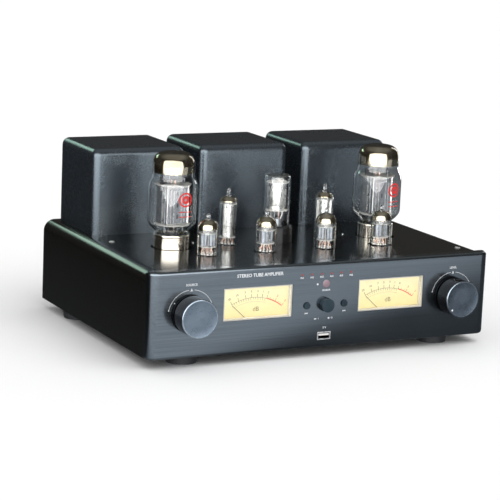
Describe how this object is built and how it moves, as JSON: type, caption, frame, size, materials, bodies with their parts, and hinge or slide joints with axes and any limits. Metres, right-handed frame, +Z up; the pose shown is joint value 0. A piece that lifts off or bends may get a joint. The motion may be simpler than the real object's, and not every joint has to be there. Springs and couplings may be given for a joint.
{
  "type": "tube amplifier",
  "caption": "Stereo tube amplifier: black chassis with thick brushed front panel, level meters, knobs, glass tubes on top and covered transformers behind.",
  "frame": {"origin": "on the ground under the middle of the amplifier, half way between the knobs' faces and the ends of the speaker terminals", "axes": "+X to the right seen from the front, +Y to the rear, +Z up"},
  "size_m": [0.39, 0.33, 0.1975],
  "materials": {
    "panel_anodised": "black anodised, brushed lengthwise",
    "shell_coated": "black satin coat",
    "rear_coated": "black fine-textured coat",
    "tray_steel": "black coated steel",
    "cover_coated": "black satin coat",
    "foot_rubber": "matte",
    "plated_steel": "zinc plated",
    "bright_steel": "bright plated",
    "core_laminations": "varnished laminations",
    "winding_wrap": "taped winding",
    "tube_glass": "clear",
    "base_chrome": "polished",
    "base_bakelite": "black moulded",
    "electrode_metal": "grey carbonised and bright nickel",
    "socket_ceramic": "cream ceramic",
    "board_laminate": "green laminate",
    "capacitor_sleeve": "sleeved",
    "knob_anodised": "black anodised, satin face",
    "shaft_steel": "turned",
    "control_body": "moulded",
    "button_anodised": "black anodised",
    "meter_plastic": "light grey moulded",
    "dial_paper": "printed, lit from behind",
    "needle_black": "thin black",
    "window_clear": "clear",
    "lamp_red": "diffused",
    "lens_pink": "tinted",
    "socket_steel": "bright plated",
    "inlet_plastic": "moulded",
    "terminal_cap_plastic": "red or black moulded",
    "gold_brass": "gold plated"
  },
  "bodies": {
    "chassis": {"bias_points": "bright_steel", "bottom_tray": "tray_steel", "button_switches": "control_body", "chassis_shell": "shell_coated", "circuit_boards": "board_laminate", "filter_capacitors": "capacitor_sleeve", "foot_screws": "plated_steel", "front_panel": "panel_anodised", "indicator_lamps": "lamp_red", "mains_inlet": "inlet_plastic", "meter_case_left": "meter_plastic", "meter_case_right": "meter_plastic", "meter_dials": "dial_paper", "meter_windows": "window_clear", "miniature_sockets": "socket_ceramic", "octal_sockets": "socket_ceramic", "phono_jacks": "gold_brass", "power_tube_left_base": "base_chrome", "power_tube_left_electrodes": "electrode_metal", "power_tube_left_glass": "tube_glass", "power_tube_right_base": "base_chrome", "power_tube_right_electrodes": "electrode_metal", "power_tube_right_glass": "tube_glass", "rear_panel": "rear_coated", "rectifier_base": "base_bakelite", "rectifier_electrodes": "electrode_metal", "rectifier_glass": "tube_glass", "remote_lens": "lens_pink", "rubber_feet": "foot_rubber", "selector_encoder": "control_body", "small_tube_1_glass": "tube_glass", "small_tube_2_glass": "tube_glass", "small_tube_3_glass": "tube_glass", "small_tube_4_glass": "tube_glass", "small_tube_electrodes": "electrode_metal", "tall_tube_left_glass": "tube_glass", "tall_tube_right_glass": "tube_glass", "terminal_posts": "gold_brass", "top_screws": "bright_steel", "transformer_bolts": "plated_steel", "transformer_cores": "core_laminations", "transformer_cover_centre": "cover_coated", "transformer_cover_left": "cover_coated", "transformer_cover_right": "cover_coated", "transformer_windings": "winding_wrap", "usb_socket": "socket_steel", "volume_potentiometer": "control_body"},
    "selector": {"selector_knob": "knob_anodised", "selector_shaft": "shaft_steel"},
    "volume": {"volume_knob": "knob_anodised", "volume_shaft": "shaft_steel"},
    "power_push": {"power_button": "button_anodised"},
    "left_push": {"button_left": "button_anodised"},
    "right_push": {"button_right": "button_anodised"},
    "left_needle": {"meter_needle_left": "needle_black"},
    "right_needle": {"meter_needle_right": "needle_black"},
    "cap_1": {"terminal_cap_1": "terminal_cap_plastic"},
    "cap_2": {"terminal_cap_2": "terminal_cap_plastic"},
    "cap_3": {"terminal_cap_3": "terminal_cap_plastic"},
    "cap_4": {"terminal_cap_4": "terminal_cap_plastic"}
  },
  "joints": [
    {"name": "selector_turn", "type": "hinge", "parent": "chassis", "child": "selector", "pos_m": [-0.1505, -0.143, 0.0545], "axis": [0, 1, 0], "continuous": true},
    {"name": "volume_turn", "type": "hinge", "parent": "chassis", "child": "volume", "pos_m": [0.1505, -0.143, 0.0545], "axis": [0, 1, 0], "range_deg": [0, 270]},
    {"name": "power_press", "type": "slide", "parent": "chassis", "child": "power_push", "axis": [0, 1, 0], "range_m": [0, 0.003], "stiffness_N_per_m": 400},
    {"name": "left_press", "type": "slide", "parent": "chassis", "child": "left_push", "axis": [0, 1, 0], "range_m": [0, 0.001], "stiffness_N_per_m": 800},
    {"name": "right_press", "type": "slide", "parent": "chassis", "child": "right_push", "axis": [0, 1, 0], "range_m": [0, 0.001], "stiffness_N_per_m": 800},
    {"name": "left_needle_swing", "type": "hinge", "parent": "chassis", "child": "left_needle", "pos_m": [-0.0765, -0.1345, 0.0352], "axis": [0, 1, 0], "range_deg": [0, 95], "stiffness_Nm_per_rad": 0.0002},
    {"name": "right_needle_swing", "type": "hinge", "parent": "chassis", "child": "right_needle", "pos_m": [0.0765, -0.1345, 0.0352], "axis": [0, 1, 0], "range_deg": [0, 95], "stiffness_Nm_per_rad": 0.0002},
    {"name": "cap_1_unscrew", "type": "slide", "parent": "chassis", "child": "cap_1", "axis": [0, 1, 0], "range_m": [0, 0.004]},
    {"name": "cap_2_unscrew", "type": "slide", "parent": "chassis", "child": "cap_2", "axis": [0, 1, 0], "range_m": [0, 0.004]},
    {"name": "cap_3_unscrew", "type": "slide", "parent": "chassis", "child": "cap_3", "axis": [0, 1, 0], "range_m": [0, 0.004]},
    {"name": "cap_4_unscrew", "type": "slide", "parent": "chassis", "child": "cap_4", "axis": [0, 1, 0], "range_m": [0, 0.004]}
  ]
}
